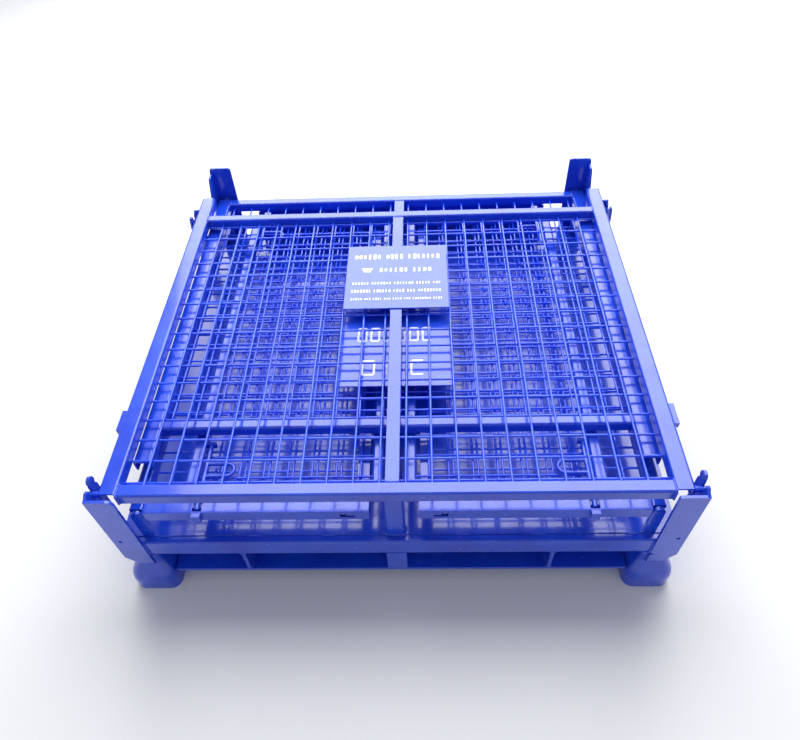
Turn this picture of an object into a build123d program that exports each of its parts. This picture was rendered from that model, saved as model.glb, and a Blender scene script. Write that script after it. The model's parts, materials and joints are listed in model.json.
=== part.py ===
from build123d import *
import os

# Folding mesh-sided steel stillage, shown folded flat.  Millimetres, +Z up.
# Origin: on the ground, under the middle of the base.  +X right, +Y to the back.

# ---- overall sizes ----
width = 1140.0            # over the side faces of the corner plates
depth = 1026.0            # front corner plate face to rear corner plate face
rail_base = 125.0         # ground to underside of the base rails
rail_size = 50.0          # square base rails
wall_length = 944.0       # folded front wall, post end to post end

# ---- steel sections ----
plate = 6.0               # corner and notch plates
tube_wall = 3.0
channel_wall = 4.0
bend = 5.0                # outer bend radius of tubes and channels
wire = 5.0                # mesh wire diameter
wire_gap = 0.05           # between the two layers of wires
pitch = 50.0              # mesh pitch
sheet = 3.0               # floor sheet and plates
fit = 0.1                 # radial clearance of a pin in its hole
pin = 12.0                # trunnions and hinge pins
cut = 1.0                 # a cut runs this far past the faces it opens

# ---- heights of the folded stack, all above the ground ----
floor_top = rail_base + rail_size + sheet
side_bottom = floor_top + 60.0
side_height = 30.0
gate_bottom = side_bottom + 12.0
gate_height = 26.0
rear_bottom = gate_bottom + gate_height + 6.0
rear_height = 28.0
front_bottom = rear_bottom + rear_height + 8.0
front_height = 30.0

# ---- places shared by several pieces ----
front_face = -depth / 2
rear_face = depth / 2
side_face = width / 2
plate_in = side_face - plate
sheet_set_back = 22.0     # front edge of the floor sheet and centre post, behind the front face

# ---- corner plates ----
flange = 54.0
front_shoulder = 350.0    # top of the plates' front faces; the prongs rise above it
plate_corner = 14.0       # rounded inner top corner of the front plates
plate_drop = 32.0         # front plates reach this far below the rails, over the necks of the feet
drop_flat = 28.0          # level part of that lower edge; the rest slopes up to the plate's corner
tie_hole = 8.0            # small hole low in each front plate
tie_hole_in = 16.0
tie_hole_up = 70.0
rear_inset = 40.0         # the rear plates stand this far inboard
rear_flange = 60.0
rear_plate_top = 405.0
notch_width = pin + 2 * fit
notch_at = 27.0           # notch centre behind the front face
rear_notch_at = 98.0      # rear notch plate ahead of the rear face
rear_notch_top = 337.0
notch_lip = 16.0          # return lip of the rear notch plate
rear_corner_radius = 9.0

# Top outlines of the cheeks: distance from the plate's own face, height from its top (front: its shoulder).
front_cheek = ((0, 0), (7, 1), (16, 7), (20, 5), (34, 0), (34, 9), (38, 15), (46, 16), (52, 11),
               (flange, 2), (50, -6), (flange, -14))
rear_cheek = ((plate, -14), (30, -16), (50, -60))
rear_cheek_foot = 54.0
notch_depth = 60.0        # rear notch plate, front to back
notch_cheek = ((0, 0), (14, -10), (18, -20), (32, -16), (40, 6), (52, 6), (notch_depth, -20))

# ---- rear sill ----
sill_reach = 414.0        # from the middle to each end
sill = 4.0                # its plate
sill_return = 18.0        # end returns, towards the front
sill_below = 12.0         # its top below the folded rear wall

# ---- centre post ----
post_width = 40.0
post_depth = 16.0
post_radius = 7.0
post_below = 6.0          # its top below the folded front wall

# ---- feet ----
foot_rim = 100.0
foot_overhang = 14.0
foot_skirt = 46.0
foot_neck = 60.0
foot_wall = 4.0
foot_corner = 24.0        # plan radius of the rim
neck_corner = 12.0
foot_collar = 35.0        # straight neck under the rail
foot_cap = 14.0           # solid top of that neck

# ---- fork pockets ----
strap_top = 55.0
strap = 8.0
strap_width = 60.0
web_at = 321.0
web = 8.0
block = 42.0
stub_length = 60.0

# ---- front wall ----
front_post = 35.0
front_out = side_face - 20.0
front_start = front_face + 20.0
front_rail_width = 28.0
front_rail_start = front_face + 15.0
front_top_from_end = 79.0
front_top_width = 25.0
mesh_drop = 18.0          # outer face down to the axis of the upper wires
first_cross_wire = 14.0   # bottom rail to the axis of the first cross wire
front_pin_y = front_face + notch_at
front_pin_z = front_bottom + front_height / 2 + 3.0
pin_reach = 8.0           # a trunnion's end beyond the face of its plate
lug_from_end = 152.0
lug_length = 50.0
lug_out = 12.0
lug_inset = 8.0           # lug above and below its post faces
rail_step = 1.0           # cross rails lie this much under their posts

# ---- rear wall ----
rear_post = 36.0
rear_length = 898.0
rear_pin_from_end = 14.0
rear_rail_width = 25.0
rear_top_from_end = 82.0
rear_wire_up = 11.0       # underside up to the axis of the upper wires
rear_gap = 2.0            # cheeks of the rear plates to the rear wall posts
rear_free = 8.0           # rear end of the rear wall to the rear plates
rear_out = side_face - rear_inset - plate - rear_gap
rear_end = rear_face - plate - rear_free

# ---- side walls and gates ----
side_start = front_face + 24.0
side_end = rear_face - 33.0
side_post = 26.0
side_free = 48.0          # free ends of the posts, from the middle
side_hinge_x = side_face - 62.0
side_rail = 28.0
side_wire_up = 3.0        # underside up to the axis of the lower wires
side_bar = 25.0           # flat bar along the free edge
side_bar_gap = 4.0        # post ends to the flat bar
side_bar_height = 8.0
catch_height = 20.0       # small catch on the outside of each post
catch_out = 10.0
keeper = 18.0             # width of the keeper notch for a bolt
ear = 8.0
ear_width = 25.0
rail_plug = 6.0           # end plate inside each end of the hinge rail
play = 1.0                # between an ear and the pieces beside it
gate_gap = 4.0            # gate ends to the side wall posts
gate_inner = 22.0
gate_outer = 420.0
gate_inner_rail = 22.0
gate_outer_rail = 24.0
gate_end_bar = 20.0
gate_pin = 11.8
gate_pin_x = 99.0
gate_pin_below = 18.0     # gate pin axis below the top of the gate
slot_leg = gate_pin + 2 * fit
slot_tail = 16.0
slot_tail_height = 6.0
slot_rise = 8.0           # slot bottom above the underside of the post
bolt = 10.0
bolt_in = 10.0            # bolt axis inboard of the outer rail
bolt_below = 9.0          # bolt axis below the top of the gate
bolt_short = 2.0          # bolt tip short of the post web
bolt_tail = 130.0         # bolt length inside the gate
guide = 20.0              # bolt guide plate, from the rail
handle_rod = 8.0
handle_reach = 58.0
handle_width = 29.0
handle_from_end = 68.0

# ---- plates ----
name_plate_size = (246.0, 228.0)
name_plate_from_end = 345.0
load_plate_size = (250.0, 220.0)
load_plate_from_rail = 215.0
centre_bar = 27.0
centre_bar_height = 18.0


def x_plane(x, y, z):
    """Section plane of a bar that runs along +X; local x is +Y, local y is +Z."""
    return Plane(origin=(x, y, z), x_dir=(0, 1, 0), z_dir=(1, 0, 0))


def y_plane(x, y, z):
    """Section plane of a bar that runs along +Y; local x is -X, local y is +Z."""
    return Plane(origin=(x, y, z), x_dir=(-1, 0, 0), z_dir=(0, 1, 0))


def tube(section_plane, size_a, size_b, length):
    """Square or rectangular hollow section, extruded from its section plane."""
    with BuildPart() as bar:
        with BuildSketch(section_plane):
            RectangleRounded(size_a, size_b, bend)
            RectangleRounded(size_a - 2 * tube_wall, size_b - 2 * tube_wall, bend - tube_wall,
                             mode=Mode.SUBTRACT)
        extrude(amount=length)
    return bar.part


def flat(x_range, y_range, z_range, mode=Mode.ADD):
    """Plain flat bar or block between the given limits."""
    centre = tuple((r[0] + r[1]) / 2 for r in (x_range, y_range, z_range))
    size = [r[1] - r[0] for r in (x_range, y_range, z_range)]
    with Locations(centre):
        return Box(*size, mode=mode)


def wire_mesh(xs, y_range, ys, x_range, z_along_y, z_along_x):
    """Welded mesh: wires along Y at each x of xs, and wires along X at each y of ys."""
    with BuildPart() as grid:
        with BuildSketch(y_plane(0, y_range[0], z_along_y)):
            with Locations(*[(-x, 0) for x in xs]):
                Circle(wire / 2)
        extrude(amount=y_range[1] - y_range[0])
        with BuildSketch(x_plane(x_range[0], 0, z_along_x)):
            with Locations(*[(y, 0) for y in ys]):
                Circle(wire / 2)
        extrude(amount=x_range[1] - x_range[0])
    return grid.part


def channel(x, y, top, size, height, length):
    """Channel along +Y with its web on top and both flanges pointing down."""
    with BuildPart() as bar:
        with BuildSketch(y_plane(x, y, top - height / 2)) as section:
            Rectangle(size, height)
            fillet(section.vertices().group_by(Axis.Z)[-1], bend)
            with Locations((0, -channel_wall)):
                Rectangle(size - 2 * channel_wall, height, mode=Mode.SUBTRACT)
        extrude(amount=length)
    return bar.part


def spaced(start, end):
    """Places one pitch apart, centred between start and end, clear of both."""
    count = int((end - start - pitch / 2) // pitch) + 1
    first = (start + end) / 2 - (count - 1) * pitch / 2
    return [first + i * pitch for i in range(count)]


def mirrored(half):
    """Places one pitch apart, half a pitch either side of the middle and outwards, inside +-half."""
    count = int((half - wire - pitch / 2) // pitch) + 1
    return [sign * (pitch / 2 + i * pitch) for i in range(count) for sign in (-1, 1)]


def stepped(start, end):
    """Places one pitch apart from start, the last one clear of end."""
    count = int((end - wire / 2 - start) // pitch) + 1
    return [start + i * pitch for i in range(count)]


def save(part, name):
    part.label = name
    export_step(part, f"parts/{name}.step")


os.makedirs("parts", exist_ok=True)

sides = {"left": -1, "right": 1}
ends = {"front": -1, "rear": 1}

# ======== base: feet ========
foot_x = {"front": side_face + foot_overhang - foot_rim / 2}
foot_x["rear"] = foot_x["front"] - rear_inset
foot_y = depth / 2 + foot_overhang - foot_rim / 2
inner_rim = foot_rim - 2 * foot_wall
inner_neck = foot_neck - 2 * foot_wall

for side, sx in sides.items():
    for end, sy in ends.items():
        at = Location((sx * foot_x[end], sy * foot_y, 0))
        with BuildPart() as foot:
            with BuildSketch(Plane(at)):
                RectangleRounded(foot_rim, foot_rim, foot_corner)
            extrude(amount=foot_skirt)
            with BuildSketch(Plane(at).offset(foot_skirt)):
                RectangleRounded(foot_rim, foot_rim, foot_corner)
            with BuildSketch(Plane(at).offset(rail_base - foot_collar)):
                RectangleRounded(foot_neck, foot_neck, neck_corner)
            loft()
            with BuildSketch(Plane(at).offset(rail_base - foot_collar)):
                RectangleRounded(foot_neck, foot_neck, neck_corner)
            extrude(amount=foot_collar)
            with BuildSketch(Plane(at)):
                RectangleRounded(inner_rim, inner_rim, foot_corner - foot_wall)
            extrude(amount=foot_skirt, mode=Mode.SUBTRACT)
            with BuildSketch(Plane(at).offset(foot_skirt)):
                RectangleRounded(inner_rim, inner_rim, foot_corner - foot_wall)
            with BuildSketch(Plane(at).offset(rail_base - foot_collar)):
                RectangleRounded(inner_neck, inner_neck, neck_corner - foot_wall)
            loft(mode=Mode.SUBTRACT)
            with BuildSketch(Plane(at).offset(rail_base - foot_collar)):
                RectangleRounded(inner_neck, inner_neck, neck_corner - foot_wall)
            extrude(amount=foot_collar - foot_cap, mode=Mode.SUBTRACT)
        save(foot.part, f"foot_{end}_{side}")

# ======== base: rails, bearers and floor ========
rail_z = rail_base + rail_size / 2
save(tube(x_plane(-plate_in, front_face + plate + rail_size / 2, rail_z),
          rail_size, rail_size, 2 * plate_in), "front_rail")
save(tube(x_plane(-plate_in, rear_face - plate - rail_size / 2, rail_z),
          rail_size, rail_size, 2 * plate_in), "rear_rail")
rail_run = depth - 2 * plate - 2 * rail_size
for side, sx in sides.items():
    save(tube(y_plane(sx * (plate_in - rail_size / 2), -rail_run / 2, rail_z),
              rail_size, rail_size, rail_run), f"side_rail_{side}")

with BuildPart() as bearers:
    with BuildSketch(y_plane(0, -rail_run / 2, rail_z)):
        with Locations((-web_at, 0), (0, 0), (web_at, 0)):
            RectangleRounded(block, rail_size, bend)
            RectangleRounded(block - 2 * tube_wall, rail_size - 2 * tube_wall, bend - tube_wall,
                             mode=Mode.SUBTRACT)
    extrude(amount=rail_run)
save(bearers.part, "floor_bearers")

with BuildPart() as floor_sheet:
    flat((-plate_in, plate_in), (front_face + sheet_set_back, rear_face - plate),
         (floor_top - sheet, floor_top))
save(floor_sheet.part, "floor_sheet")

# ======== base: fork pockets under the rails ========
with BuildPart() as fork_straps:
    for end, sy in ends.items():
        outer = sy * (depth / 2 - plate)
        inner = outer - sy * strap_width
        reach = foot_x[end] - foot_rim / 2
        flat((-reach, reach), sorted((outer, inner)), (strap_top - strap, strap_top))
save(fork_straps.part, "fork_straps")

with BuildPart() as fork_dividers:
    for end, sy in ends.items():
        outer = sy * (depth / 2 - plate)
        inner = outer - sy * stub_length
        flat((-block / 2, block / 2), sorted((outer, inner)), (strap_top, rail_base))
        for sx in sides.values():
            flat((sx * web_at - web / 2, sx * web_at + web / 2), sorted((outer, inner)),
                 (strap_top, rail_base))
save(fork_dividers.part, "fork_dividers")

# ======== base: centre post under the folded front wall ========
centre_post_top = front_bottom - post_below
with BuildPart() as centre_post:
    with BuildSketch(Plane.XY.offset(floor_top)):
        with Locations((0, front_face + sheet_set_back + post_depth / 2)):
            Rectangle(post_width, post_depth)
            with Locations((0, channel_wall)):
                Rectangle(post_width - 2 * channel_wall, post_depth, mode=Mode.SUBTRACT)
    extrude(amount=centre_post_top - floor_top)
    fillet(centre_post.edges().filter_by(Axis.Z).group_by(Axis.Y)[0], post_radius)
save(centre_post.part, "centre_post")

# ======== base: rear sill, which closes the gap under the folded rear wall ========
sill_back = rear_face - plate
sill_top = rear_bottom - sill_below
with BuildPart() as rear_sill:
    flat((-sill_reach, sill_reach), (sill_back - sill, sill_back), (floor_top, sill_top))
    for sx in sides.values():
        flat(sorted((sx * sill_reach, sx * (sill_reach - sill))), (sill_back - sill_return, sill_back),
             (floor_top, sill_top))
save(rear_sill.part, "rear_sill")

# ======== base: corner plates ========
for side, sx in sides.items():
    with BuildPart() as front_corner:
        with BuildSketch(Plane.XZ.offset(-front_face)) as face:
            with Locations((sx * (side_face - flange / 2), (rail_base + front_shoulder) / 2)):
                Rectangle(flange, front_shoulder - rail_base)
            inner_edge = face.vertices().sort_by(Axis.X)
            inner_pair = inner_edge[-2:] if sx < 0 else inner_edge[:2]
            fillet(inner_pair.sort_by(Axis.Z)[-1], plate_corner)
            with Locations((sx * (side_face - tie_hole_in), rail_base + tie_hole_up)):
                Circle(tie_hole / 2, mode=Mode.SUBTRACT)
            with BuildLine():
                inner_x = sx * (side_face - flange)
                Polyline((inner_x, rail_base), (inner_x, rail_base - plate_drop),
                         (inner_x + sx * drop_flat, rail_base - plate_drop),
                         (sx * side_face, rail_base), close=True)
            make_face()
        extrude(amount=-plate)
        with BuildSketch(Plane.YZ.offset(sx * side_face)) as cheek:
            with BuildLine():
                outline = [(front_face + back, front_shoulder + up) for back, up in front_cheek]
                Polyline((front_face, rail_base), *outline, (front_face + flange, rail_base),
                         close=True)
            make_face()
            with Locations((front_pin_y, front_pin_z)):
                Circle(notch_width / 2, mode=Mode.SUBTRACT)
            with Locations((front_pin_y, front_pin_z + flange / 2)):
                Rectangle(notch_width, flange, mode=Mode.SUBTRACT)
        extrude(amount=-sx * plate)
    save(front_corner.part, f"front_corner_plate_{side}")

    rear_side_face = side_face - rear_inset
    with BuildPart() as rear_corner:
        with BuildSketch(Plane.XZ.offset(-rear_face)) as face:
            with Locations((sx * (rear_side_face - rear_flange / 2), (rail_base + rear_plate_top) / 2)):
                Rectangle(rear_flange, rear_plate_top - rail_base)
            fillet(face.vertices().group_by(Axis.Z)[-1], rear_corner_radius)
        extrude(amount=plate)
        with BuildSketch(Plane.YZ.offset(sx * rear_side_face)):
            with BuildLine():
                outline = [(rear_face - ahead, rear_plate_top + up) for ahead, up in rear_cheek]
                Polyline((rear_face - plate, floor_top), *outline,
                         (rear_face - rear_cheek_foot, floor_top), close=True)
            make_face()
            with Locations((rear_end - rear_pin_from_end, rear_bottom + rear_height / 2)):
                Circle(pin / 2 + fit, mode=Mode.SUBTRACT)
        extrude(amount=-sx * plate)
    save(rear_corner.part, f"rear_corner_plate_{side}")

    notch_y = rear_face - rear_notch_at
    with BuildPart() as rear_notch:
        flat(sorted((sx * side_face, sx * (side_face - notch_lip))), (notch_y - plate, notch_y),
             (floor_top, rear_notch_top))
        with BuildSketch(Plane.YZ.offset(sx * side_face)):
            with BuildLine():
                outline = [(notch_y - ahead, rear_notch_top + up) for ahead, up in notch_cheek]
                Polyline((notch_y, floor_top), *outline, (notch_y - notch_depth, floor_top), close=True)
            make_face()
        extrude(amount=-sx * plate)
    save(rear_notch.part, f"rear_notch_plate_{side}")

# ======== base: ears that carry the side walls ========
side_hinge_z = side_bottom + side_height / 2
front_ear_y = side_start
rear_ear_y = side_end - ear
with BuildPart() as ears:
    for sx in sides.values():
        for ear_y in (front_ear_y, rear_ear_y):
            with BuildSketch(Plane.XZ.offset(-ear_y)):
                with Locations((sx * side_hinge_x, (floor_top + side_hinge_z) / 2)):
                    Rectangle(ear_width, side_hinge_z - floor_top)
                with Locations((sx * side_hinge_x, side_hinge_z)):
                    Circle(ear_width / 2)
                    Circle(pin / 2 + fit, mode=Mode.SUBTRACT)
            extrude(amount=-ear)
save(ears.part, "wall_hinge_ears")

# ======== front wall ========
front_top = front_bottom + front_height
front_end = front_start + wall_length
front_in = front_out - front_post
for side, sx in sides.items():
    post_x = sx * (front_out - front_post / 2)
    with BuildPart() as post:
        add(channel(post_x, front_start, front_top, front_post, front_height, wall_length))
        flat(sorted((sx * front_out, sx * (front_out + lug_out))),
             (front_start + lug_from_end, front_start + lug_from_end + lug_length),
             (front_bottom + lug_inset, front_top - lug_inset))
        with BuildSketch(x_plane(sx * front_out, front_pin_y, front_pin_z)):
            Circle(pin / 2)
        extrude(amount=sx * (side_face - front_out + pin_reach))
    save(post.part, f"front_wall_post_{side}")

front_rail_end = front_rail_start + front_rail_width
front_mid = (front_bottom + front_top - rail_step) / 2
front_top_rail = front_end - front_top_from_end - front_top_width
save(tube(x_plane(-front_in, front_rail_start + front_rail_width / 2, front_mid),
          front_rail_width, front_height - rail_step, 2 * front_in), "front_wall_bottom_rail")
save(tube(x_plane(-front_in, front_top_rail + front_top_width / 2, front_mid),
          front_top_width, front_height - rail_step, 2 * front_in), "front_wall_top_rail")
front_wire_z = front_top - mesh_drop
front_cross_z = front_wire_z - wire - wire_gap
save(wire_mesh(mirrored(front_in), (front_rail_end, front_top_rail),
               stepped(front_rail_end + first_cross_wire, front_top_rail), (-front_in, front_in),
               front_wire_z, front_cross_z), "front_wall_mesh")
bar_bottom = front_cross_z + wire / 2
with BuildPart() as front_bar:
    flat((-centre_bar / 2, centre_bar / 2), (front_rail_end, front_top_rail),
         (bar_bottom, bar_bottom + centre_bar_height))
save(front_bar.part, "front_wall_centre_bar")
name_end = front_end - name_plate_from_end + name_plate_size[1] / 2
with BuildPart() as name_plate:
    flat((-name_plate_size[0] / 2, name_plate_size[0] / 2), (name_end - name_plate_size[1], name_end),
         (bar_bottom + centre_bar_height, bar_bottom + centre_bar_height + sheet))
save(name_plate.part, "name_plate")

# ======== rear wall ========
rear_top = rear_bottom + rear_height
rear_start = rear_end - rear_length
rear_in = rear_out - rear_post
rear_pin_y = rear_end - rear_pin_from_end
for side, sx in sides.items():
    with BuildPart() as post:
        add(channel(sx * (rear_out - rear_post / 2), rear_start, rear_top, rear_post, rear_height,
                    rear_length))
        with BuildSketch(x_plane(sx * rear_out, rear_pin_y, rear_bottom + rear_height / 2)):
            Circle(pin / 2)
        extrude(amount=sx * (side_face - rear_inset - rear_out + pin_reach))
    save(post.part, f"rear_wall_post_{side}")
rear_rail_start = rear_end - rear_rail_width
rear_top_rail = rear_start + rear_top_from_end
rear_mid = (rear_bottom + rear_top - rail_step) / 2
save(tube(x_plane(-rear_in, rear_rail_start + rear_rail_width / 2, rear_mid),
          rear_rail_width, rear_height - rail_step, 2 * rear_in), "rear_wall_bottom_rail")
save(tube(x_plane(-rear_in, rear_top_rail + rear_rail_width / 2, rear_mid),
          rear_rail_width, rear_height - rail_step, 2 * rear_in), "rear_wall_top_rail")
rear_wire_z = rear_bottom + rear_wire_up
rear_cross_z = rear_wire_z - wire - wire_gap
rear_mesh_start = rear_top_rail + rear_rail_width
save(wire_mesh(mirrored(rear_in), (rear_mesh_start, rear_rail_start),
               spaced(rear_mesh_start, rear_rail_start), (-rear_in, rear_in),
               rear_wire_z, rear_cross_z), "rear_wall_mesh")
rear_bar_bottom = rear_cross_z + wire / 2
rear_bar_top = rear_top - rail_step
with BuildPart() as rear_bar:
    flat((-centre_bar / 2, centre_bar / 2), (rear_mesh_start, rear_rail_start),
         (rear_bar_bottom, rear_bar_top))
save(rear_bar.part, "rear_wall_centre_bar")
load_y = rear_top_rail + load_plate_from_rail
with BuildPart() as load_plate:
    flat((-load_plate_size[0] / 2, load_plate_size[0] / 2),
         (load_y - load_plate_size[1] / 2, load_y + load_plate_size[1] / 2),
         (rear_bar_top, rear_bar_top + sheet))
save(load_plate.part, "load_plate")

# ======== side walls and their half-drop gates ========
side_top = side_bottom + side_height
side_outer = side_hinge_x - side_rail / 2
side_cross_z = side_bottom + side_wire_up
side_wire_z = side_cross_z + wire + wire_gap
gate_top = gate_bottom + gate_height
gate_start = side_start + side_post + gate_gap
gate_end = side_end - side_post - gate_gap
gate_pin_z = gate_top - gate_pin_below
gate_rail_in = gate_inner + gate_inner_rail
gate_rail_out = gate_outer - gate_outer_rail
gate_cross_z = gate_bottom + wire / 2
gate_wire_z = gate_cross_z + wire + wire_gap
bolt_x = gate_rail_out - bolt_in
bolt_z = gate_top - bolt_below
guide_height = 2 * (bolt_z - gate_wire_z - wire / 2 - play / 2)
gate_wires = spaced(gate_start + gate_end_bar, gate_end - gate_end_bar)

for side, sx in sides.items():
    for end, sy in ends.items():
        post_y = side_start if end == "front" else side_end
        with BuildPart() as post:
            flat(sorted((sx * side_free, sx * side_outer)), sorted((post_y, post_y - sy * side_post)),
                 (side_bottom, side_top))
            flat(sorted((sx * side_free, sx * side_outer)),
                 sorted((post_y - sy * channel_wall, post_y - sy * side_post)),
                 (side_bottom + channel_wall, side_top - channel_wall), mode=Mode.SUBTRACT)
            slot_low = side_bottom + slot_rise
            flat(sorted((sx * (gate_pin_x - slot_leg / 2), sx * (gate_pin_x + slot_leg / 2))),
                 sorted((post_y + sy * cut, post_y - sy * (channel_wall + cut))),
                 (slot_low, side_top - channel_wall), mode=Mode.SUBTRACT)
            flat(sorted((sx * (gate_pin_x - slot_leg / 2 - slot_tail), sx * gate_pin_x)),
                 sorted((post_y + sy * cut, post_y - sy * (channel_wall + cut))),
                 (slot_low, slot_low + slot_tail_height), mode=Mode.SUBTRACT)
            flat(sorted((sx * (bolt_x - keeper / 2), sx * (bolt_x + keeper / 2))),
                 sorted((post_y - sy * channel_wall, post_y - sy * (side_post + cut))),
                 (side_top - channel_wall - cut, side_top + cut), mode=Mode.SUBTRACT)
            flat(sorted((sx * (bolt_x - keeper / 2), sx * (bolt_x + keeper / 2))),
                 sorted((post_y, post_y + sy * catch_out)), (side_top - catch_height, side_top))
        save(post.part, f"{side}_wall_post_{end}")

    hinge_start = front_ear_y + ear + play
    hinge_end = rear_ear_y - play
    with BuildPart() as hinge_rail:
        add(tube(y_plane(sx * side_hinge_x, hinge_start, side_hinge_z), side_rail, side_height,
                 hinge_end - hinge_start))
        for plug_start in (hinge_start, hinge_end - rail_plug):
            with BuildSketch(y_plane(sx * side_hinge_x, plug_start, side_hinge_z)):
                RectangleRounded(side_rail - tube_wall, side_height - tube_wall, bend - tube_wall / 2)
            extrude(amount=rail_plug)
    save(hinge_rail.part, f"{side}_wall_hinge_rail")
    with BuildPart() as pins:
        for pin_start, pin_end in ((side_start - play, hinge_start), (hinge_end, side_end + play)):
            with BuildSketch(y_plane(sx * side_hinge_x, pin_start, side_hinge_z)):
                Circle(pin / 2)
            extrude(amount=pin_end - pin_start)
    save(pins.part, f"{side}_wall_hinge_pins")
    inner_y = side_start + side_post
    outer_y = side_end - side_post
    mesh_in = side_free + side_bar_gap + side_bar
    with BuildPart() as top_bar:
        flat(sorted((sx * (side_free + side_bar_gap), sx * mesh_in)), (inner_y, outer_y),
             (side_bottom, side_bottom + side_bar_height))
    save(top_bar.part, f"{side}_wall_top_bar")
    save(wire_mesh([sx * x for x in spaced(mesh_in, side_outer)], (inner_y, outer_y),
                   spaced(inner_y, outer_y), sorted((sx * mesh_in, sx * side_outer)),
                   side_wire_z, side_cross_z), f"{side}_wall_mesh")

    # gate, folded down flat on the side wall
    with BuildPart() as outer_rail:
        add(tube(y_plane(sx * (gate_outer - gate_outer_rail / 2), gate_start, (gate_bottom + gate_top) / 2),
                 gate_outer_rail, gate_height, gate_end - gate_start))
        for guide_y in (gate_wires[1] + pitch / 2, gate_wires[-2] - pitch / 2):
            with BuildSketch(Plane.XZ.offset(-guide_y)):
                with Locations((sx * (gate_rail_out - guide / 2), bolt_z)):
                    Rectangle(guide, guide_height)
                with Locations((sx * bolt_x, bolt_z)):
                    Circle(bolt / 2 + fit, mode=Mode.SUBTRACT)
            extrude(amount=sheet, both=True)
    save(outer_rail.part, f"{side}_gate_top_rail")
    with BuildPart() as inner_rail:
        add(tube(y_plane(sx * (gate_inner + gate_inner_rail / 2), gate_start, (gate_bottom + gate_top) / 2),
                 gate_inner_rail, gate_height, gate_end - gate_start))
    save(inner_rail.part, f"{side}_gate_bottom_rail")
    with BuildPart() as end_bars:
        for end, sy in ends.items():
            bar_y = gate_start if end == "front" else gate_end
            flat(sorted((sx * gate_rail_in, sx * gate_rail_out)),
                 sorted((bar_y, bar_y - sy * gate_end_bar)), (gate_bottom, gate_top))
            with BuildSketch(Plane.XZ.offset(-bar_y)):
                with Locations((sx * bolt_x, bolt_z)):
                    Circle(bolt / 2 + fit)
            extrude(amount=sy * gate_end_bar, mode=Mode.SUBTRACT)
            with BuildSketch(Plane.XZ.offset(-bar_y)):
                with Locations((sx * gate_pin_x, gate_pin_z)):
                    Circle(gate_pin / 2)
            extrude(amount=-sy * (gate_gap + side_post - channel_wall / 2))
    save(end_bars.part, f"{side}_gate_end_bars")
    save(wire_mesh([sx * x for x in spaced(gate_rail_in, gate_rail_out)],
                   (gate_start + gate_end_bar, gate_end - gate_end_bar), gate_wires,
                   sorted((sx * gate_rail_in, sx * gate_rail_out)), gate_cross_z, gate_wire_z),
         f"{side}_gate_mesh")

    # slide bolts with loop handles, one at each end of the gate
    for end, sy in ends.items():
        bar_y = gate_start if end == "front" else gate_end
        tip = bar_y + sy * (gate_gap + side_post - channel_wall - bolt_short)
        tail = bar_y - sy * bolt_tail
        near = bar_y - sy * (handle_from_end - handle_width / 2)
        far = bar_y - sy * (handle_from_end + handle_width / 2)
        reach_x = sx * (bolt_x - handle_reach + handle_width / 2)
        with BuildPart() as latch:
            with BuildSketch(y_plane(sx * bolt_x, min(tip, tail), bolt_z)):
                Circle(bolt / 2)
            extrude(amount=abs(tip - tail))
            with BuildLine() as loop:
                Line((sx * bolt_x, near, bolt_z), (reach_x, near, bolt_z))
                ThreePointArc((reach_x, near, bolt_z),
                              (sx * (bolt_x - handle_reach), (near + far) / 2, bolt_z),
                              (reach_x, far, bolt_z))
                Line((reach_x, far, bolt_z), (sx * bolt_x, far, bolt_z))
            with BuildSketch(x_plane(sx * bolt_x, near, bolt_z)):
                Circle(handle_rod / 2)
            sweep(path=loop.wire())
        save(latch.part, f"{side}_latch_bolt_{end}")
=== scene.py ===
import json
import math
import random

import bmesh
import bpy
from mathutils import Matrix, Vector


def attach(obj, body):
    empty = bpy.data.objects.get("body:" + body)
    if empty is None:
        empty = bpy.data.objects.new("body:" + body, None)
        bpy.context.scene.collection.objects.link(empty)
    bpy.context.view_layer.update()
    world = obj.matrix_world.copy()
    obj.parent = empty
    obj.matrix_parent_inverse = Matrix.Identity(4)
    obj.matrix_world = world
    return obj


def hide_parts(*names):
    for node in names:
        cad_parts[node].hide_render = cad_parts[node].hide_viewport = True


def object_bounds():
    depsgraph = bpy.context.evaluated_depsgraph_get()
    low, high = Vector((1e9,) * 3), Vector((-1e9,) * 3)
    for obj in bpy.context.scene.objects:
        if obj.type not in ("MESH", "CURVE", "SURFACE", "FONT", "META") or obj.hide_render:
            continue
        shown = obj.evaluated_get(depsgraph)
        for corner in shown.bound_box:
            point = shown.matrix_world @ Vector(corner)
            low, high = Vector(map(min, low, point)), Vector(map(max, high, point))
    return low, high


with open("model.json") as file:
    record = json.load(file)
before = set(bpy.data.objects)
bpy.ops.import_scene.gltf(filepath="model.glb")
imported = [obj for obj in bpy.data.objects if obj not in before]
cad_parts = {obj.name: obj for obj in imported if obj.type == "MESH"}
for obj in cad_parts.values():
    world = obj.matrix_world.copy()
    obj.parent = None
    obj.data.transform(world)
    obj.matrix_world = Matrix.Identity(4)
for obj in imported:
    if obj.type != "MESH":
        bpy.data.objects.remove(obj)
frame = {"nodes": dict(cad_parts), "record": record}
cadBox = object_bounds()
nodes = frame["nodes"]
bodyOf = {node: body for body, members in frame["record"]["behaviour"]["bodies"].items() for node in members}
slotOf = {part["node"]: part["material_slot"] for part in frame["record"]["subparts"]}
mm = 0.001
mergeDistance = 0.01 * mm
dice = random.Random(11)
print("frame loaded:", len(nodes), "nodes")


def newMaterial(name):
    material = bpy.data.materials.new(name)
    material.use_nodes = True
    tree = material.node_tree
    tree.nodes.clear()
    output = tree.nodes.new("ShaderNodeOutputMaterial")
    shader = tree.nodes.new("ShaderNodeBsdfPrincipled")
    tree.links.new(shader.outputs["BSDF"], output.inputs["Surface"])
    return material, tree, shader


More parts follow.
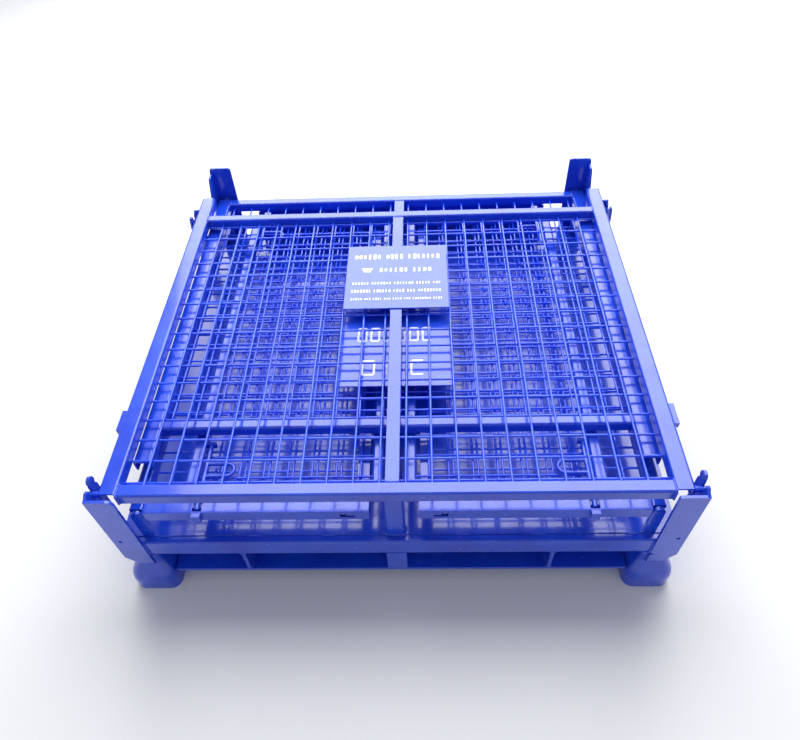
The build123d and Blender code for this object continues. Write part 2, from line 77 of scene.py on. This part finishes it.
def addNoise(tree, place, scale, detail=3.0, roughness=0.5):
    noise = tree.nodes.new("ShaderNodeTexNoise")
    noise.inputs["Scale"].default_value = scale
    noise.inputs["Detail"].default_value = detail
    noise.inputs["Roughness"].default_value = roughness
    tree.links.new(place, noise.inputs["Vector"])
    return noise.outputs["Fac"]


def addRange(tree, value, low, high, fromLow=0.3, fromHigh=0.7):
    spread = tree.nodes.new("ShaderNodeMapRange")
    spread.inputs["From Min"].default_value = fromLow
    spread.inputs["From Max"].default_value = fromHigh
    spread.inputs["To Min"].default_value = low
    spread.inputs["To Max"].default_value = high
    tree.links.new(value, spread.inputs["Value"])
    return spread.outputs["Result"]


def addMix(tree, share, first, second):
    mix = tree.nodes.new("ShaderNodeMix")
    mix.data_type = "RGBA"
    tree.links.new(share, mix.inputs["Factor"])
    for socket, colour in ((mix.inputs["A"], first), (mix.inputs["B"], second)):
        if isinstance(colour, tuple):
            socket.default_value = (*colour, 1.0)
        else:
            tree.links.new(colour, socket)
    return mix.outputs["Result"]


def addBump(tree, height, strength, distance, under=None):
    bump = tree.nodes.new("ShaderNodeBump")
    bump.inputs["Strength"].default_value = strength
    bump.inputs["Distance"].default_value = distance
    tree.links.new(height, bump.inputs["Height"])
    if under is not None:
        tree.links.new(under, bump.inputs["Normal"])
    return bump.outputs["Normal"]


# one gloss paint over everything, varied by what it covers
paint = {
    "deep": (0.006, 0.042, 0.56),       # thick paint, in the hollows of the noise
    "bright": (0.013, 0.078, 0.72),     # thin paint, on the rises
    "dust": (0.16, 0.20, 0.42),
    "patches": (9.0, 4.0),              # here and below: a noise's scale, detail and roughness
    "specks": (160.0, 6.0, 0.65),
    "speckBand": (0.56, 0.78),
    "smears": (34.0, 5.0, 0.6),
    "peel": (420.0, 2.0),               # orange peel of a sprayed gloss paint
    "peelStrength": 0.30,
    "peelDepth": 0.00012,
    "waves": (26.0, 2.0),               # slow waves of rolled steel under the paint
    "waveStrength": 0.35,
    "waveDepth": 0.0006,
    "gloss": (0.17, 0.29),
    "refraction": 1.5,
    "coat": 0.45,
    "coatRoughness": 0.07,
    "coatRefraction": 1.55,
}


def glossPaint(name, peel=1.0, wave=1.0, tone=1.0, dustShare=0.05):
    material, tree, shader = newMaterial(name)
    place = tree.nodes.new("ShaderNodeTexCoord").outputs["Object"]
    patches = addNoise(tree, place, *paint["patches"])
    deep = tuple(tone * c for c in paint["deep"])
    bright = tuple(tone * c for c in paint["bright"])
    base = addMix(tree, addRange(tree, patches, 0.0, 1.0), deep, bright)
    specks = addNoise(tree, place, *paint["specks"])
    dust = addRange(tree, specks, 0.0, dustShare, *paint["speckBand"])
    base = addMix(tree, dust, base, paint["dust"])
    tree.links.new(base, shader.inputs["Base Color"])
    smears = addNoise(tree, place, *paint["smears"])
    tree.links.new(addRange(tree, smears, *paint["gloss"]), shader.inputs["Roughness"])
    fine = addNoise(tree, place, *paint["peel"])
    broad = addNoise(tree, place, *paint["waves"])
    rolled = addBump(tree, broad, paint["waveStrength"] * wave, paint["waveDepth"])
    peeled = addBump(tree, fine, paint["peelStrength"] * peel, paint["peelDepth"], rolled)
    tree.links.new(peeled, shader.inputs["Normal"])
    shader.inputs["Coat Weight"].default_value = paint["coat"]
    shader.inputs["Coat Roughness"].default_value = paint["coatRoughness"]
    shader.inputs["Coat IOR"].default_value = paint["coatRefraction"]
    shader.inputs["IOR"].default_value = paint["refraction"]
    return material


framePaint = glossPaint("framePaint")
wirePaint = glossPaint("wirePaint", peel=0.6, wave=0.0, tone=1.35)
platePaint = glossPaint("platePaint", peel=0.7, wave=0.5, tone=1.05)
footPaint = glossPaint("footPaint", peel=1.2, wave=1.4, tone=0.95)
floorPaint = glossPaint("floorPaint", peel=1.0, wave=1.6, tone=0.95, dustShare=0.09)
latchPaint = glossPaint("latchPaint", peel=0.8, wave=0.2)
weldPaint = glossPaint("weldPaint", peel=2.2, wave=0.0, tone=1.05)
paintOf = {"frame_paint": framePaint, "mesh_paint": wirePaint, "plate_paint": platePaint,
           "foot_paint": footPaint, "floor_paint": floorPaint, "latch_paint": latchPaint}
print("paints mixed:", len(paintOf) + 1)


def finishPiece(bm, name, material, body, smoothAngle=40.0):
    mesh = bpy.data.meshes.new(name)
    bm.to_mesh(mesh)
    bm.free()
    mesh.materials.append(material)
    for face in mesh.polygons:
        face.use_smooth = True
    mesh.set_sharp_from_angle(angle=math.radians(smoothAngle))
    piece = bpy.data.objects.new(name, mesh)
    bpy.context.scene.collection.objects.link(piece)
    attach(piece, body)
    return piece


# cut edges are broken, as paint and grinding leave them; radii in millimetres, by a word in the name
steel = {
    "sharpAngle": 32.0,
    "flatAngle": 1.0,
    "segments": 2,
    "radii": {"corner_plate": 1.2, "notch_plate": 1.2, "latch_bolt": 0.6, "centre_bar": 0.8,
              "plate": 0.7, "sheet": 0.6},
    "otherRadius": 0.7,
}


def addSteel(node):
    radius = next((r for word, r in steel["radii"].items() if word in node), steel["otherRadius"])
    bm = bmesh.new()
    bm.from_mesh(nodes[node].data)
    bmesh.ops.remove_doubles(bm, verts=bm.verts, dist=mergeDistance)
    bmesh.ops.dissolve_limit(bm, angle_limit=math.radians(steel["flatAngle"]), verts=bm.verts,
                             edges=bm.edges)
    sharpAngle = math.radians(steel["sharpAngle"])
    sharp = [e for e in bm.edges if e.is_manifold and e.calc_face_angle() > sharpAngle]
    bmesh.ops.bevel(bm, geom=sharp, offset=radius * mm, offset_type="OFFSET", segments=steel["segments"],
                    profile=0.5, affect="EDGES", clamp_overlap=True, material=-1)
    slot = slotOf[node]
    piece = finishPiece(bm, node + ".steel", paintOf[slot], bodyOf[node])
    flatten = piece.modifiers.new("flatFaces", "WEIGHTED_NORMAL")
    flatten.keep_sharp = True
    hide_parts(node)


def boxOf(node):
    corners = [nodes[node].matrix_world @ Vector(corner) for corner in nodes[node].bound_box]
    return (Vector([min(c[i] for c in corners) for i in range(3)]),
            Vector([max(c[i] for c in corners) for i in range(3)]))


# pressed bell feet: a rounded skirt, a soft shoulder and a neck under the rail, in millimetres
bell = {
    "skirt": 48.0,
    "shoulder": 90.0,
    "rim": 50.0,
    "neck": 30.0,
    "rimCorner": 23.0,
    "cornerSegments": 8,
    "shoulderRadius": 15.0,
    "shoulderSegments": 5,
    "neckRadius": 8.0,
    "neckSegments": 3,
    "wall": 4.0,
    "smoothAngle": 50.0,
}


def roundEdges(bm, edges, radius, segments):
    bmesh.ops.bevel(bm, geom=edges, offset=radius, offset_type="OFFSET", segments=segments, profile=0.5,
                    affect="EDGES", material=-1)


def edgesAt(bm, height):
    return [e for e in bm.edges if all(abs(v.co.z - height) < mergeDistance for v in e.verts)]


def isUpright(edge, least):
    return abs(edge.verts[0].co.z - edge.verts[1].co.z) > least


def addFoot(node):
    low, high = boxOf(node)
    middle = (low + high) / 2
    wide, skirt, shoulder = 2 * bell["rim"] * mm, bell["skirt"] * mm, bell["shoulder"] * mm
    bm = bmesh.new()
    bmesh.ops.create_cube(bm, size=1.0)
    bmesh.ops.scale(bm, vec=(wide, wide, skirt), verts=bm.verts)
    bmesh.ops.translate(bm, vec=(0, 0, skirt / 2), verts=bm.verts)
    roundEdges(bm, [e for e in bm.edges if isUpright(e, mm)], bell["rimCorner"] * mm, bell["cornerSegments"])
    for height, share in ((shoulder, bell["neck"] / bell["rim"]), (high.z, 1.0)):
        crown = max(bm.faces, key=lambda f: f.calc_center_median().z)
        lifted = bmesh.ops.extrude_discrete_faces(bm, faces=[crown])["faces"][0]
        rise = height - lifted.calc_center_median().z
        bmesh.ops.translate(bm, vec=(0, 0, rise), verts=lifted.verts)
        bmesh.ops.scale(bm, vec=(share, share, 1), verts=lifted.verts)
    roundEdges(bm, edgesAt(bm, skirt), bell["shoulderRadius"] * mm, bell["shoulderSegments"])
    roundEdges(bm, edgesAt(bm, shoulder), bell["neckRadius"] * mm, bell["neckSegments"])
    # the level faces, top and bottom, are the only ones with a rounded outline
    ends = [f for f in bm.faces if abs(f.normal.z) > 0.99 and len(f.verts) > bell["cornerSegments"]]
    bmesh.ops.delete(bm, geom=ends, context="FACES")
    bmesh.ops.recalc_face_normals(bm, faces=bm.faces)
    bmesh.ops.solidify(bm, geom=list(bm.faces), thickness=bell["wall"] * mm)
    bmesh.ops.translate(bm, vec=(middle.x, middle.y, low.z), verts=bm.verts)
    slot = slotOf[node]
    piece = finishPiece(bm, node + ".pressed", paintOf[slot], bodyOf[node], bell["smoothAngle"])
    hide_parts(node)


for node in sorted(nodes):
    nodes[node].data.materials.clear()
    nodes[node].data.materials.append(paintOf[slotOf[node]])
    if node.startswith("foot_"):
        addFoot(node)
    elif not node.endswith("_mesh"):
        addSteel(node)
print("steel pieces made")


# a heap is a list of corners and a list of faces, which finishHeap makes into one piece
def addShape(heap, shape, place, size=(1.0, 1.0, 1.0), turn=0.0):
    first = len(heap[0])
    cosTurn, sinTurn = math.cos(turn), math.sin(turn)
    for co in shape[0]:
        x, y = co.x * cosTurn - co.y * sinTurn, co.x * sinTurn + co.y * cosTurn
        heap[0].append((place[0] + x * size[0], place[1] + y * size[1], place[2] + co.z * size[2]))
    heap[1].extend([first + i for i in face] for face in shape[1])


def finishHeap(heap, name, material, body, smoothAngle=60.0):
    mesh = bpy.data.meshes.new(name)
    mesh.from_pydata(heap[0], [], heap[1])
    bm = bmesh.new()
    bm.from_mesh(mesh)
    bpy.data.meshes.remove(mesh)
    finishPiece(bm, name, material, body, smoothAngle)


def shapeOf(bm):
    bm.verts.index_update()
    shape = [v.co.copy() for v in bm.verts], [[v.index for v in f.verts] for f in bm.faces]
    bm.free()
    return shape


def ballShape(subdivisions):
    bm = bmesh.new()
    bmesh.ops.create_icosphere(bm, subdivisions=subdivisions, radius=1.0)
    return shapeOf(bm)


coarseBall, fineBall = ballShape(1), ballShape(2)
fullTurn = 6.28


def addBlob(heap, ball, place, radius, flatness=1.0):
    addShape(heap, ball, place, (radius, radius, radius * flatness), dice.uniform(0, fullTurn))


# a weld bead is a row of overlapping ripples; radii and lengths in millimetres
bead = {
    "pitch": 0.75,          # of its radius
    "unevenness": 0.16,
    "flatness": 0.72,
    "plate": 3.0,
    "foot": 4.2,
    "sheet": 2.2,
    "web": 3.0,
    "rail": 2.2,
    "bar": 2.0,
    "inset": 3.0,           # ends of a bead round a rail, from the rail's corners
}


def addBead(heap, start, end, radius):
    start, end, radius = start * mm, end * mm, radius * mm
    count = max(2, int((end - start).length / (radius * bead["pitch"])))
    uneven = bead["unevenness"]
    for i in range(count + 1):
        wander = Vector([dice.uniform(-1, 1) * radius * uneven for _ in range(3)])
        swell = radius * dice.uniform(1 - uneven, 1 + uneven)
        addBlob(heap, fineBall, start.lerp(end, i / count) + wander / 2, swell, bead["flatness"])


def addSeams(name, body, seams):
    heap = [], []
    for start, end, kind in seams:
        addBead(heap, Vector(start), Vector(end), bead[kind])
    finishHeap(heap, name, weldPaint, body)


def seamsOfEnds(node, axis, kind):
    # a bead along each side of each end of a rail
    low, high = boxOf(node)
    a, b = [i for i in range(3) if i != axis]
    inset = bead["inset"] * mm
    corners = ((0, 0), (1, 0), (1, 1), (0, 1))
    seams = []
    for end in (low, high):
        for (u, v), (nextU, nextV) in zip(corners, corners[1:] + corners[:1]):
            start, stop = Vector(end), Vector(end)
            start[a], stop[a] = [high[a] - inset if k else low[a] + inset for k in (u, nextU)]
            start[b], stop[b] = [high[b] - inset if k else low[b] + inset for k in (v, nextV)]
            if u == nextU:
                start[a] = stop[a] = (high if u else low)[a]
            else:
                start[b] = stop[b] = (high if v else low)[b]
            seams.append((start / mm, stop / mm, kind))
    return seams


# where the base is welded, in millimetres from the corners of its pieces
baseWelds = {
    "railEnd": 4,                   # a seam up a rail stops this far from its edges
    "dropStart": 2,                 # under a front plate, from its inner edge
    "dropEnd": 27,
    "dropIn": 3,
    "neckShare": 0.94,              # beads stand in the corner of a neck and its rail
    "neckDown": 1.5,
    "stitches": (486, 300, 150),    # outer ends of the floor sheet's stitches, from the middle
    "stitchLength": 24,
    "stitchDown": 1.6,
    "rearUp": 3,
    "rearDown": 40,
    "rearIn": 6,
    "webThickness": 8,
    "webStart": 2,
    "webEnd": 56,
}


def boxInMm(node):
    return [corner / mm for corner in boxOf(node)]


def sideSeams(side, sx):
    railLow, railHigh = boxInMm("front_rail")
    sheetLow, sheetHigh = boxInMm("floor_sheet")
    low, high = boxInMm(f"front_corner_plate_{side}")
    inner, outer = (high.x, low.x) if sx < 0 else (low.x, high.x)
    top, under, railEnd = railHigh.z, railLow.z, baseWelds["railEnd"]
    seams = [((inner, railLow.y, under + railEnd), (inner, railLow.y, top - railEnd), "plate")]
    start, end = [inner + sx * baseWelds[key] for key in ("dropStart", "dropEnd")]
    dropFace = low.y + baseWelds["dropIn"]
    seams.append(((start, dropFace, low.z), (end, dropFace, low.z), "foot"))

    around = ((-1, -1), (1, -1), (1, 1), (-1, 1))
    reach, height = bell["neck"] * baseWelds["neckShare"], under - baseWelds["neckDown"]
    for end in ("front", "rear"):
        footLow, footHigh = boxInMm(f"foot_{end}_{side}")
        middle = (footLow + footHigh) / 2
        corners = [(middle.x + a * reach, middle.y + b * reach, height) for a, b in around]
        seams += [(start, stop, "foot") for start, stop in zip(corners, corners[1:] + corners[:1])]

    sheetTop = sheetHigh.z - baseWelds["stitchDown"]
    for edge in (sheetLow.y, sheetHigh.y):
        for away in baseWelds["stitches"]:
            start, end = sx * away, sx * (away - baseWelds["stitchLength"])
            seams.append(((start, edge, sheetTop), (end, edge, sheetTop), "sheet"))

    notchLow, notchHigh = boxInMm(f"rear_notch_plate_{side}")
    notchInner = notchHigh.x if sx < 0 else notchLow.x
    seams.append(((notchInner, notchHigh.y, notchLow.z), (outer, notchHigh.y, notchLow.z), "plate"))
    rearLow, rearHigh = boxInMm(f"rear_corner_plate_{side}")
    rearInner = rearHigh.x if sx < 0 else rearLow.x
    rearY = rearHigh.y - baseWelds["rearIn"]
    seams.append(((rearInner, rearY, top + baseWelds["rearUp"]),
                  (rearInner, rearY, top - baseWelds["rearDown"]), "plate"))
    return seams


def webSeams():
    low, high = boxInMm("fork_dividers")
    seams = []
    for sx in (-1, 1):
        for x in (high.x, high.x - baseWelds["webThickness"]):
            for y, inward in ((low.y, 1), (high.y, -1)):
                start, end = [y + inward * baseWelds[key] for key in ("webStart", "webEnd")]
                seams += [((sx * x, start, z), (sx * x, end, z), "web") for z in (low.z, high.z)]
    return seams


def postSeams():
    low, high = boxInMm("centre_post")
    frontLeft, frontRight = (low.x, low.y, low.z), (high.x, low.y, low.z)
    backLeft, backRight = (low.x, high.y, low.z), (high.x, high.y, low.z)
    return [(frontLeft, frontRight, "plate"), (frontLeft, backLeft, "plate"),
            (frontRight, backRight, "plate")]


addSeams("base.welds", "base", sideSeams("left", -1) + sideSeams("right", 1) + webSeams() + postSeams())
for body in ("front_wall", "rear_wall"):
    addSeams(f"{body}.welds", body, seamsOfEnds(f"{body}_bottom_rail", 0, "rail")
             + seamsOfEnds(f"{body}_top_rail", 0, "rail") + seamsOfEnds(f"{body}_centre_bar", 1, "bar"))
for side in ("left", "right"):
    addSeams(f"{side}_wall.welds", f"{side}_wall", seamsOfEnds(f"{side}_wall_top_bar", 1, "bar"))
print("welds laid")

# wires end in a small burr of weld at each rail, and are pressed together where they cross
spot = {
    "burr": 3.1,
    "burrRange": (0.9, 1.15),
    "burrFlatness": 0.85,
    "nugget": 3.2,
    "nuggetRange": (0.9, 1.1),
    "nuggetFlatness": 0.5,
    "smoothAngle": 80.0,
}


def wiresOf(node):
    # the loose parts of a mesh, as boxes: first those along X, then those along Y
    bm = bmesh.new()
    bm.from_mesh(nodes[node].data)
    bmesh.ops.remove_doubles(bm, verts=bm.verts, dist=mergeDistance)
    seen, wires = set(), ([], [])
    for vertex in bm.verts:
        if vertex in seen:
            continue
        seen.add(vertex)
        group, queue = [vertex], [vertex]
        while queue:
            for edge in queue.pop().link_edges:
                for other in edge.verts:
                    if other not in seen:
                        seen.add(other)
                        group.append(other)
                        queue.append(other)
        low = Vector([min(v.co[i] for v in group) for i in range(3)])
        high = Vector([max(v.co[i] for v in group) for i in range(3)])
        wires[0 if high.x - low.x > high.y - low.y else 1].append((low, high))
    bm.free()
    return wires


for node in sorted(n for n in nodes if n.endswith("_mesh")):
    alongX, alongY = wiresOf(node)
    heap = [], []
    for wires, axis in ((alongX, 0), (alongY, 1)):
        for low, high in wires:
            for end in (low, high):
                place = (low + high) / 2
                place[axis] = end[axis]
                radius = spot["burr"] * mm * dice.uniform(*spot["burrRange"])
                addBlob(heap, coarseBall, place, radius, spot["burrFlatness"])
    for acrossLow, acrossHigh in alongX:
        for low, high in alongY:
            place = Vector(((low.x + high.x) / 2, (acrossLow.y + acrossHigh.y) / 2,
                            (low.z + high.z + acrossLow.z + acrossHigh.z) / 4))
            radius = spot["nugget"] * mm * dice.uniform(*spot["nuggetRange"])
            addBlob(heap, coarseBall, place, radius, spot["nuggetFlatness"])
    finishHeap(heap, node + ".spots", wirePaint, bodyOf[node], spot["smoothAngle"])
print("wire spots made")

# raised marks on the two plates: rows of plain bars and open frames, which say nothing
marks = {
    "thickness": 0.35,
    "cornerShare": 0.3,
    "cornerSegments": 3,
    "smoothAngle": 40.0,
    # share of the plate from its far edge, height, start and end as shares of its width, bar, gap
    "nameRows": ((0.189, 19.0, 0.072, 0.950, 8.6, 3.0), (0.408, 15.0, 0.330, 0.860, 8.6, 3.6),
                 (0.621, 9.0, 0.069, 0.948, 4.6, 2.4), (0.740, 10.5, 0.063, 0.952, 4.8, 2.2),
                 (0.861, 7.5, 0.065, 0.955, 3.8, 1.8)),
    "groupLength": (3, 8),
    "narrowest": 0.55,
    "heights": (0.72, 0.86, 1.0, 1.0),
    # a lower and an upper block: offset along the plate, width, height, thickness
    "badgePlace": (0.207, 0.408),
    "badge": ((-3.0, 18.72, 9.1, 1.0), (4.0, 26.0, 5.85, 0.98)),
    # share of the plate from its far edge, frame height, start and end shares, count
    "loadRows": ((0.30, 40.0, 0.13, 0.84, 6), (0.76, 40.0, 0.15, 0.80, 3)),
    "frameShare": 0.62,
    "frameWidest": 26.0,
    "stroke": 4.5,
    "white": (0.82, 0.85, 0.95),
    "worn": (0.45, 0.52, 0.90),
    "wear": (240.0, 5.0, 0.6),
    "wornBand": (0.56, 0.80),
    "gloss": (0.30, 0.48),
    "bump": (0.2, 0.0001),
}


def whitePaint():
    material, tree, shader = newMaterial("markPaint")
    place = tree.nodes.new("ShaderNodeTexCoord").outputs["Object"]
    worn = addNoise(tree, place, *marks["wear"])
    share = addRange(tree, worn, 0.0, 1.0, *marks["wornBand"])
    tree.links.new(addMix(tree, share, marks["white"], marks["worn"]), shader.inputs["Base Color"])
    tree.links.new(addRange(tree, worn, *marks["gloss"]), shader.inputs["Roughness"])
    tree.links.new(addBump(tree, worn, *marks["bump"]), shader.inputs["Normal"])
    return material


markPaint = whitePaint()
markThickness = marks["thickness"] * mm


def addBar(heap, centre, size, thickness=markThickness):
    bm = bmesh.new()
    bmesh.ops.create_cube(bm, size=1.0)
    bmesh.ops.scale(bm, vec=(size[0], size[1], thickness), verts=bm.verts)
    uprights = [e for e in bm.edges if isUpright(e, thickness / 2)]
    roundEdges(bm, uprights, min(size) * marks["cornerShare"], marks["cornerSegments"])
    addShape(heap, shapeOf(bm), centre)


def addMarks(node, drawRows):
    low, high = boxOf(node)
    heap = [], []
    drawRows(heap, low, high, high.z + markThickness / 2)
    finishHeap(heap, node + ".marks", markPaint, bodyOf[node], marks["smoothAngle"])


def nameRows(heap, low, high, height):
    wide, deep = high.x - low.x, high.y - low.y
    for down, tall, start, stop, bar, gap in marks["nameRows"]:
        x, left = start * wide, dice.randint(*marks["groupLength"])
        while x + bar * mm < stop * wide:
            narrow = bar * mm * dice.uniform(marks["narrowest"], 1.0)
            short = tall * mm * dice.choice(marks["heights"])
            addBar(heap, (low.x + x + narrow / 2, high.y - down * deep, height), (narrow, short))
            x += (bar + gap) * mm
            left -= 1
            if left == 0:
                x += bar * mm
                left = dice.randint(*marks["groupLength"])
    across, down = marks["badgePlace"]
    for shift, broad, tall, share in marks["badge"]:
        addBar(heap, (low.x + across * wide, high.y - down * deep + shift * mm, height),
               (broad * mm, tall * mm), markThickness * share)


def loadRows(heap, low, high, height):
    wide, deep, stroke = high.x - low.x, high.y - low.y, marks["stroke"] * mm
    for down, tall, start, stop, count in marks["loadRows"]:
        step, tall = (stop - start) * wide / count, tall * mm
        broad = min(step * marks["frameShare"], marks["frameWidest"] * mm)
        for i in range(count):
            x, y = low.x + start * wide + (i + 0.5) * step, high.y - down * deep
            strokes = [(-1, 0, (stroke, tall)), (1, 0, (stroke, tall)), (0, -1, (broad, stroke)),
                       (0, 1, (broad, stroke))]
            if (i + count) % 3 == 2:    # every third frame is open on its right
                del strokes[1]
            for dx, dy, size in strokes:
                addBar(heap, (x + dx * broad / 2, y + dy * tall / 2, height), size)


addMarks("name_plate", nameRows)
addMarks("load_plate", loadRows)
print("plate marks made")

# floor, light and camera
studio = {
    "floorSize": 40.0,
    "floorColour": (0.80, 0.80, 0.81),
    "worldColour": (0.90, 0.93, 1.0),
    "worldStrength": 0.46,
    "ceilingPlace": (0.22, 2.0, 2.75),
    "ceilingSize": (3.8, 3.7),
    "ceilingPower": 230.0,
    "ceilingAim": (0.3, 0.3, 0.0),
    "frontPlace": (-0.8, -3.2, 2.6),
    "frontSize": (2.0, 1.6),
    "frontPower": 5.0,
    "frontAim": (0.0, 0.0, 0.2),
    "floorRoughness": 0.9,
    "floorGap": 0.2,        # millimetres under the feet; the rest is in metres
}

floorMaterial, floorTree, floorShader = newMaterial("studioFloor")
floorShader.inputs["Base Color"].default_value = (*studio["floorColour"], 1.0)
floorShader.inputs["Roughness"].default_value = studio["floorRoughness"]
floorMesh = bpy.data.meshes.new("studioFloor")
bm = bmesh.new()
bmesh.ops.create_grid(bm, x_segments=1, y_segments=1, size=studio["floorSize"] / 2)
bm.to_mesh(floorMesh)
bm.free()
floorMesh.materials.append(floorMaterial)
studioFloor = bpy.data.objects.new("studioFloor", floorMesh)
studioFloor.location = (0, 0, cadBox[0].z - studio["floorGap"] * mm)
bpy.context.scene.collection.objects.link(studioFloor)

world = bpy.data.worlds.new("studioAir")
world.use_nodes = True
air = world.node_tree.nodes["Background"]
air.inputs["Color"].default_value = (*studio["worldColour"], 1.0)
air.inputs["Strength"].default_value = studio["worldStrength"]
bpy.context.scene.world = world


def addPanel(name):
    lamp = bpy.data.lights.new(name + "Panel", "AREA")
    lamp.shape = "RECTANGLE"
    lamp.size, lamp.size_y = studio[name + "Size"]
    lamp.energy = studio[name + "Power"]
    panel = bpy.data.objects.new(name + "Panel", lamp)
    place = Vector(studio[name + "Place"])
    panel.location = place
    panel.rotation_mode = "QUATERNION"
    panel.rotation_quaternion = (Vector(studio[name + "Aim"]) - place).to_track_quat("-Z", "Y")
    bpy.context.scene.collection.objects.link(panel)


addPanel("ceiling")
addPanel("front")

viewpoint = {
    "place": (0.06436, -1.11524, 1.40143),
    "turn": -3.28,      # degrees to the right of +Y
    "tilt": 48.91,      # degrees below the horizon
    "roll": 3.39,
    "lens": 29.634,
    "clipStart": 0.01,
}
camera = bpy.data.objects.new("camera", bpy.data.cameras.new("camera"))
camera.data.lens = viewpoint["lens"]
camera.data.clip_start = viewpoint["clipStart"]
turned = Matrix.Rotation(math.radians(-viewpoint["turn"]), 4, "Z")
tilted = Matrix.Rotation(math.radians(90.0 - viewpoint["tilt"]), 4, "X")
rolled = Matrix.Rotation(math.radians(-viewpoint["roll"]), 4, "Z")
camera.matrix_world = Matrix.Translation(viewpoint["place"]) @ turned @ tilted @ rolled
bpy.context.scene.collection.objects.link(camera)
bpy.context.scene.camera = camera
bpy.context.scene.view_settings.view_transform = "Standard"
print("studio ready")
